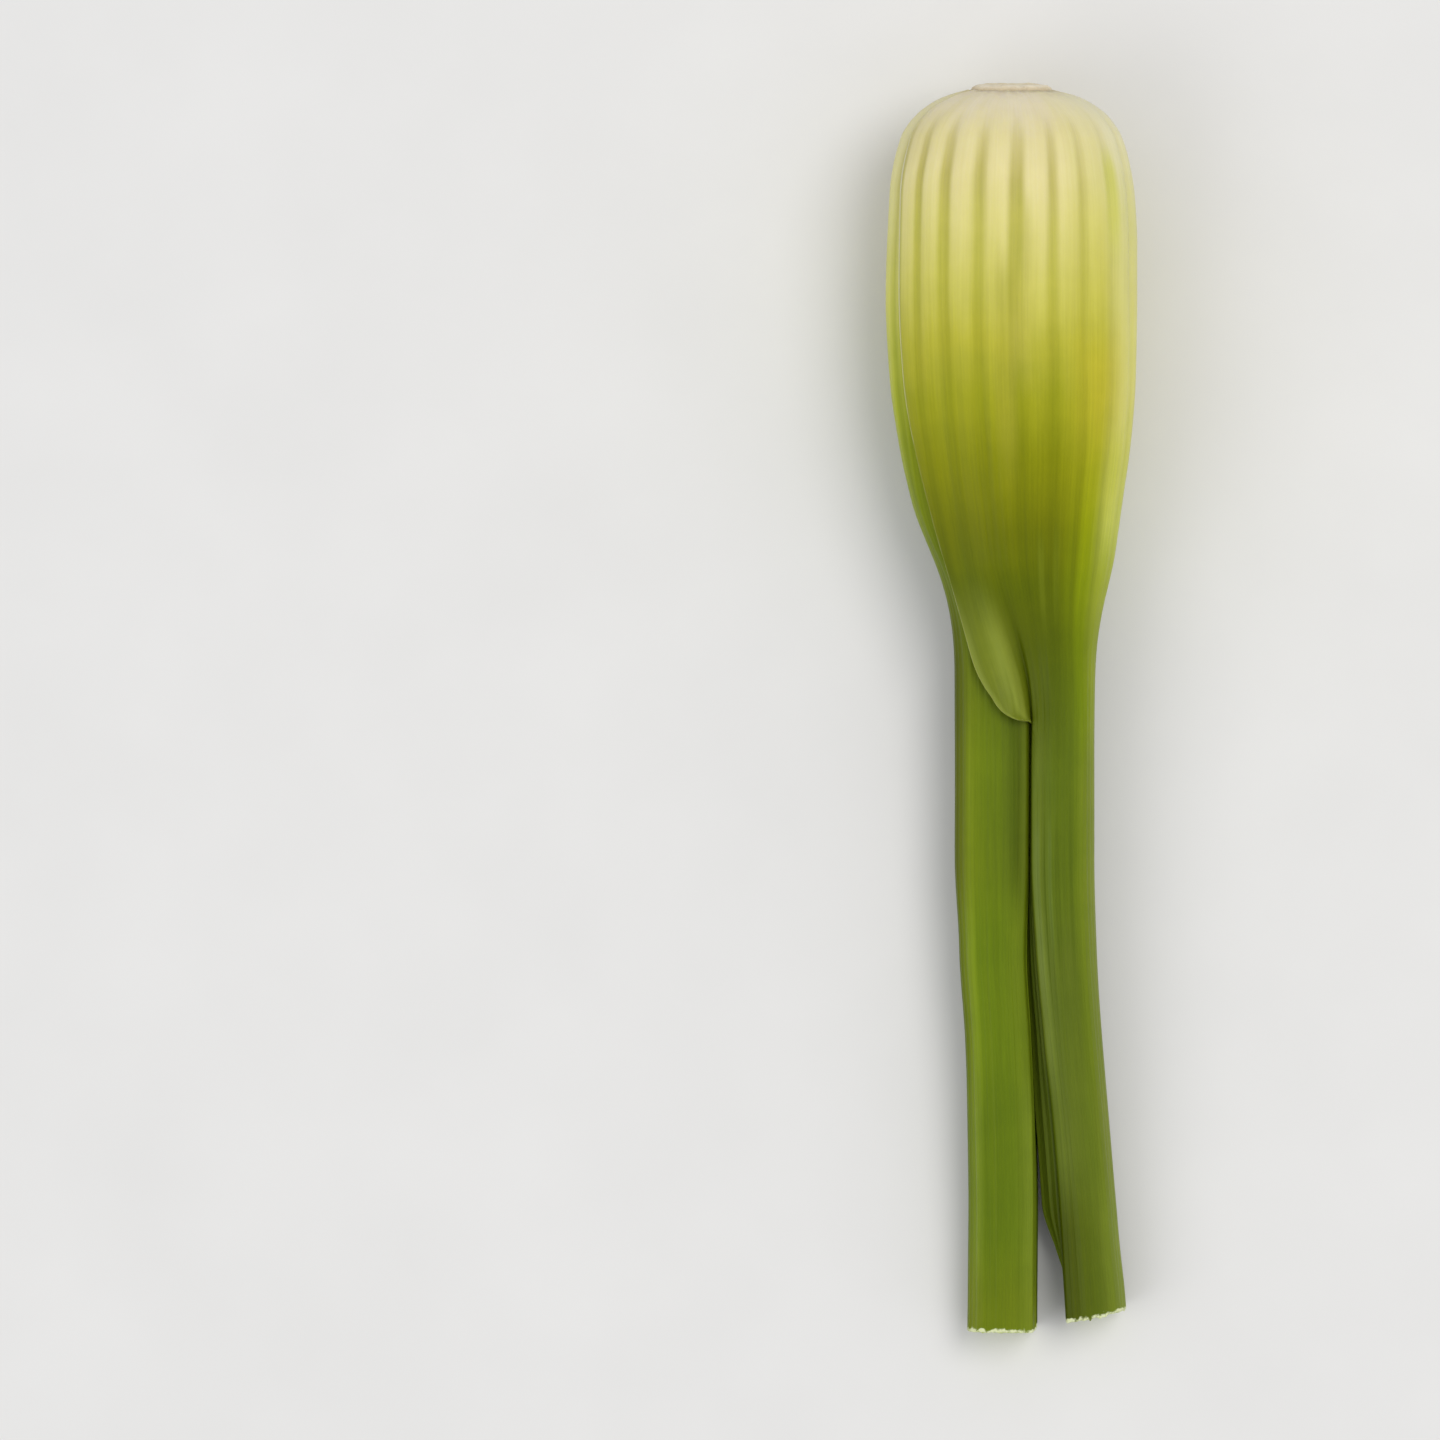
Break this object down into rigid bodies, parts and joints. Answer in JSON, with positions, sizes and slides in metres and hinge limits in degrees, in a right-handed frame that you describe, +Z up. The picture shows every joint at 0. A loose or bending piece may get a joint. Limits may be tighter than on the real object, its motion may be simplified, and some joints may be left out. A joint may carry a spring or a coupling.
{
  "type": "fennel bulb",
  "caption": "Trimmed baby fennel lying on its side: ribbed pale bulb of overlapping leaf sheaths that narrow into green cut stalks.",
  "frame": {"origin": "centre of the part's footprint, on the surface that it lies on", "axes": "+Z up from the surface; +Y along the bulb towards its root end, so the cut stalk ends face -Y; +X to the right seen from above with the root end at the top"},
  "size_m": [0.0338, 0.1714, 0.0285],
  "materials": {
    "outer_leaf": "satin plant skin, cream at the root end through yellow-green to mid green on the stalk, with fine lengthwise veins",
    "second_leaf": "satin plant skin, pale on the bulb and mid green on the stalk, with fine lengthwise veins",
    "third_leaf": "satin plant skin, pale green, with fine lengthwise veins",
    "heart": "moist, nearly white young leaf tissue",
    "stem": "dry cut tissue, cream with a tan rim"
  },
  "bodies": {
    "root": {"outer_leaf": "outer_leaf", "second_leaf": "second_leaf", "third_leaf": "third_leaf", "heart_shoot": "heart", "stem_base": "stem"}
  },
  "joints": []
}
